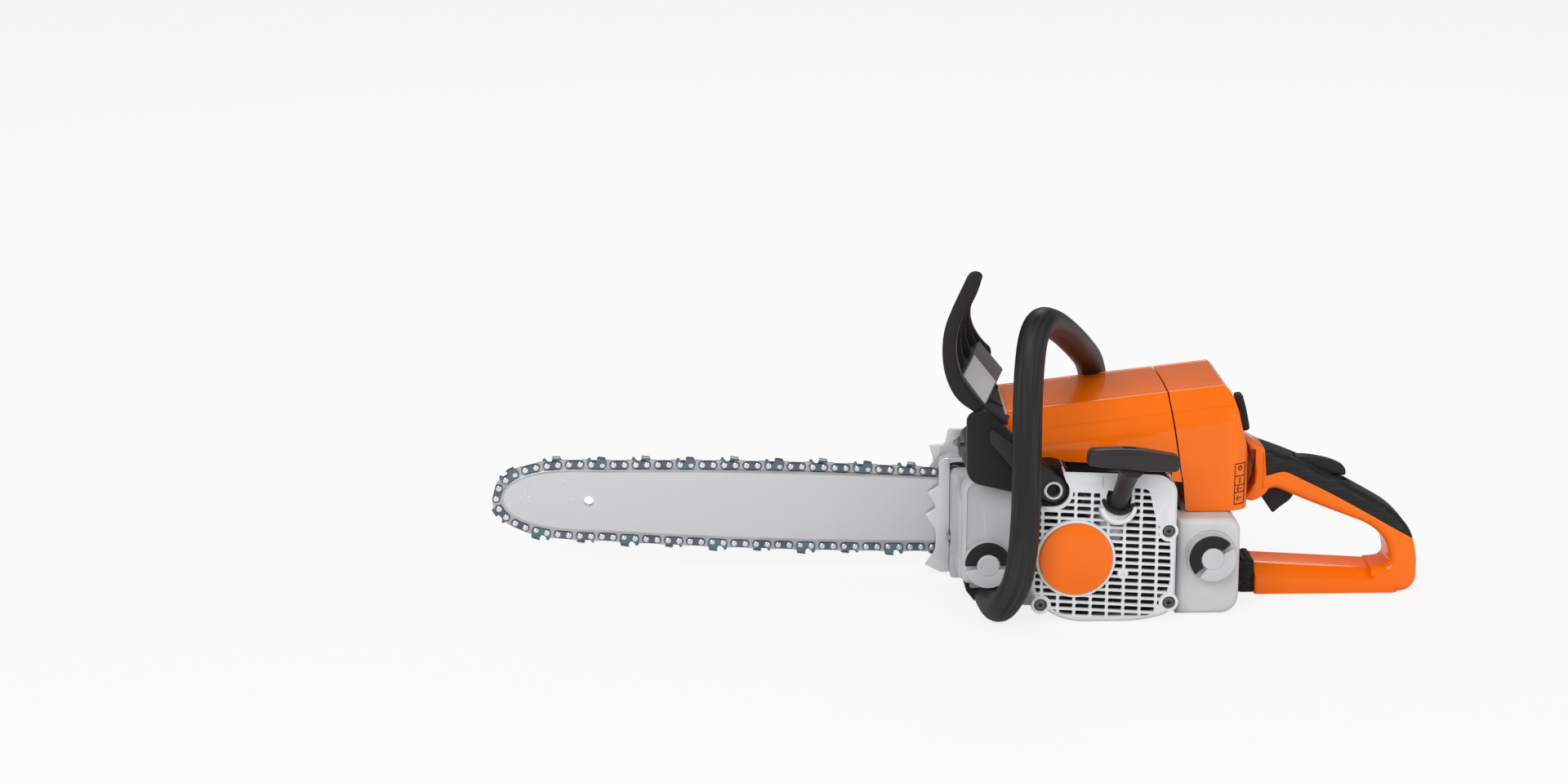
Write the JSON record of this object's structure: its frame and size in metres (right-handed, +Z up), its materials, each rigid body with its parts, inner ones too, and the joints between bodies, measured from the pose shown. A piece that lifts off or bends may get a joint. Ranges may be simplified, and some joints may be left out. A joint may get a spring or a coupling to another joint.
{
  "type": "chainsaw",
  "caption": "Petrol chainsaw: orange top covers, pale housings, black wrap-around front handle and brake guard, looped rear handle, guide bar with a saw chain.",
  "frame": {"origin": "on the ground under the crankshaft, on the flat sole of the engine housing", "axes": "+X runs back to the rear handle, the guide bar points along -X, -Y is the starter side, +Z is up"},
  "size_m": [0.671, 0.2058, 0.2499],
  "materials": {
    "orange_gloss": "glossy orange moulded covers",
    "light_grey": "satin light grey moulding",
    "black_plastic": "black moulded plastic",
    "black_rubber": "matte black soft grip and rubber",
    "bar_steel": "bright ground bar",
    "chain_steel": "blued steel links with bright cutters",
    "steel": "machined steel",
    "dark_steel": "heat-darkened steel",
    "alloy": "cast alloy",
    "spike_alloy": "bright pressed spikes",
    "rope": "braided starter rope",
    "filter_felt": "pale filter felt"
  },
  "bodies": {
    "saw_body": {"engine_housing": "light_grey", "cylinder": "alloy", "crank_bearing_left": "steel", "crank_bearing_right": "steel", "oil_pump": "alloy", "muffler": "dark_steel", "spark_plug": "steel", "spark_plug_boot": "black_rubber", "ignition_module": "black_plastic", "ignition_lead": "black_rubber", "intake_boot": "black_rubber", "carburetor": "alloy", "air_filter": "filter_felt", "brake_band": "steel", "starter_cover": "light_grey", "starter_badge": "orange_gloss", "recoil_spring": "steel", "guard_pivot_bush": "steel", "starter_screw_1": "steel", "starter_screw_2": "steel", "bar_stud_front": "steel", "bar_stud_rear": "steel", "bumper_spike_inner": "spike_alloy", "chain_catcher": "alloy", "top_shroud": "orange_gloss", "front_handle": "black_rubber", "rear_handle": "orange_gloss", "rear_grip": "black_rubber", "av_buffer_rear": "black_rubber", "av_buffer_front": "black_rubber"},
    "piston": {"piston": "alloy"},
    "crankshaft": {"crankshaft": "steel", "flywheel": "alloy", "clutch_hub": "dark_steel", "clutch_shoe_1": "dark_steel", "clutch_shoe_2": "dark_steel", "clutch_shoe_3": "dark_steel"},
    "clutch_drum": {"clutch_drum": "steel"},
    "guide_bar": {"guide_bar": "bar_steel", "saw_chain": "chain_steel", "tensioner_slider": "steel"},
    "nose_sprocket": {"nose_sprocket": "steel"},
    "tensioner_screw": {"tensioner_screw": "steel"},
    "throttle_trigger": {"throttle_trigger": "black_plastic"},
    "throttle_lockout": {"throttle_lockout": "black_plastic"},
    "master_control_lever": {"master_control_lever": "black_plastic"},
    "carb_cover": {"carb_cover": "orange_gloss"},
    "cover_twist_lock": {"cover_twist_lock": "black_plastic"},
    "hand_guard": {"hand_guard": "black_plastic"},
    "starter_grip": {"starter_grip": "black_plastic"},
    "starter_pulley": {"starter_pulley": "black_plastic", "starter_rope_coil": "rope"},
    "oil_cap": {"oil_cap": "light_grey"},
    "oil_cap_flap": {"oil_cap_flap": "black_plastic"},
    "fuel_cap": {"fuel_cap": "light_grey"},
    "fuel_cap_flap": {"fuel_cap_flap": "black_plastic"},
    "sprocket_cover": {"sprocket_cover": "light_grey", "bar_nut_front": "steel", "bar_nut_rear": "steel", "bumper_spike_outer": "spike_alloy"}
  },
  "joints": [
    {"name": "crank_spin", "type": "hinge", "parent": "saw_body", "child": "crankshaft", "pos_m": [0, 0, 0.047], "axis": [0, 1, 0], "continuous": true},
    {"name": "drum_spin", "type": "hinge", "parent": "saw_body", "child": "clutch_drum", "pos_m": [0, 0, 0.047], "axis": [0, 1, 0], "continuous": true},
    {"name": "piston_stroke", "type": "slide", "parent": "saw_body", "child": "piston", "axis": [0, 0, 1], "range_m": [-0.032, 0]},
    {"name": "bar_tension", "type": "slide", "parent": "saw_body", "child": "guide_bar", "axis": [0.9993, 0, -0.0366], "range_m": [0, 0.005]},
    {"name": "nose_sprocket_spin", "type": "hinge", "parent": "guide_bar", "child": "nose_sprocket", "pos_m": [-0.38924, 0.046, 0.05767], "axis": [0, 1, 0], "continuous": true},
    {"name": "tensioner_turn", "type": "hinge", "parent": "saw_body", "child": "tensioner_screw", "pos_m": [-0.05758, 0.033, 0.0285], "axis": [0.9993, 0, -0.0366], "range_deg": [0, 1440]},
    {"name": "throttle_pull", "type": "hinge", "parent": "saw_body", "child": "throttle_trigger", "pos_m": [0.147, -0.005, 0.083], "axis": [0, -1, 0], "range_deg": [0, 14], "stiffness_Nm_per_rad": 0.05, "springref_deg": -17.19},
    {"name": "lockout_press", "type": "hinge", "parent": "saw_body", "child": "throttle_lockout", "pos_m": [0.1695, -0.005, 0.087], "axis": [0, 1, 0], "range_deg": [0, 7], "stiffness_Nm_per_rad": 0.05, "springref_deg": -17.19},
    {"name": "master_control", "type": "hinge", "parent": "saw_body", "child": "master_control_lever", "pos_m": [0.1255, -0.0225, 0.087], "axis": [0, 1, 0], "range_deg": [-10, 10]},
    {"name": "carb_cover_lift", "type": "slide", "parent": "saw_body", "child": "carb_cover", "axis": [0, 0, 1], "range_m": [0, 0.08]},
    {"name": "cover_lock_turn", "type": "hinge", "parent": "carb_cover", "child": "cover_twist_lock", "pos_m": [0.12, -0.005, 0.132], "axis": [1, 0, 0], "range_deg": [0, 90]},
    {"name": "brake_guard_tilt", "type": "hinge", "parent": "saw_body", "child": "hand_guard", "pos_m": [-0.016, -0.079, 0.0955], "axis": [0, -1, 0], "range_deg": [0, 18]},
    {"name": "starter_pull", "type": "slide", "parent": "saw_body", "child": "starter_grip", "axis": [0.1398, -0.5591, 0.8172], "range_m": [0, 0.5], "stiffness_N_per_m": 1, "springref_m": -0.5},
    {"name": "starter_pulley_spin", "type": "hinge", "parent": "saw_body", "child": "starter_pulley", "pos_m": [0, -0.071, 0.047], "axis": [0, 1, 0], "range_deg": [0, 1440]},
    {"name": "oil_cap_lift", "type": "slide", "parent": "saw_body", "child": "oil_cap", "axis": [0, -1, 0], "range_m": [0, 0.01]},
    {"name": "oil_cap_wing", "type": "hinge", "parent": "oil_cap", "child": "oil_cap_flap", "pos_m": [-0.0595, -0.0703, 0.0373], "axis": [1, 0, 0], "range_deg": [0, 90]},
    {"name": "fuel_cap_lift", "type": "slide", "parent": "saw_body", "child": "fuel_cap", "axis": [0, -1, 0], "range_m": [0, 0.03]},
    {"name": "fuel_cap_wing", "type": "hinge", "parent": "fuel_cap", "child": "fuel_cap_flap", "pos_m": [0.0975, -0.0823, 0.044], "axis": [0.7431, 0, 0.6691], "range_deg": [0, 90]},
    {"name": "sprocket_cover_off", "type": "slide", "parent": "saw_body", "child": "sprocket_cover", "axis": [0, 1, 0], "range_m": [0, 0.05]}
  ],
  "couplings": [
    {"joint": "nose_sprocket_spin", "follows": "drum_spin", "ratio": 0.7},
    {"joint": "starter_pulley_spin", "follows": "starter_pull", "rad_per_m": 50}
  ]
}
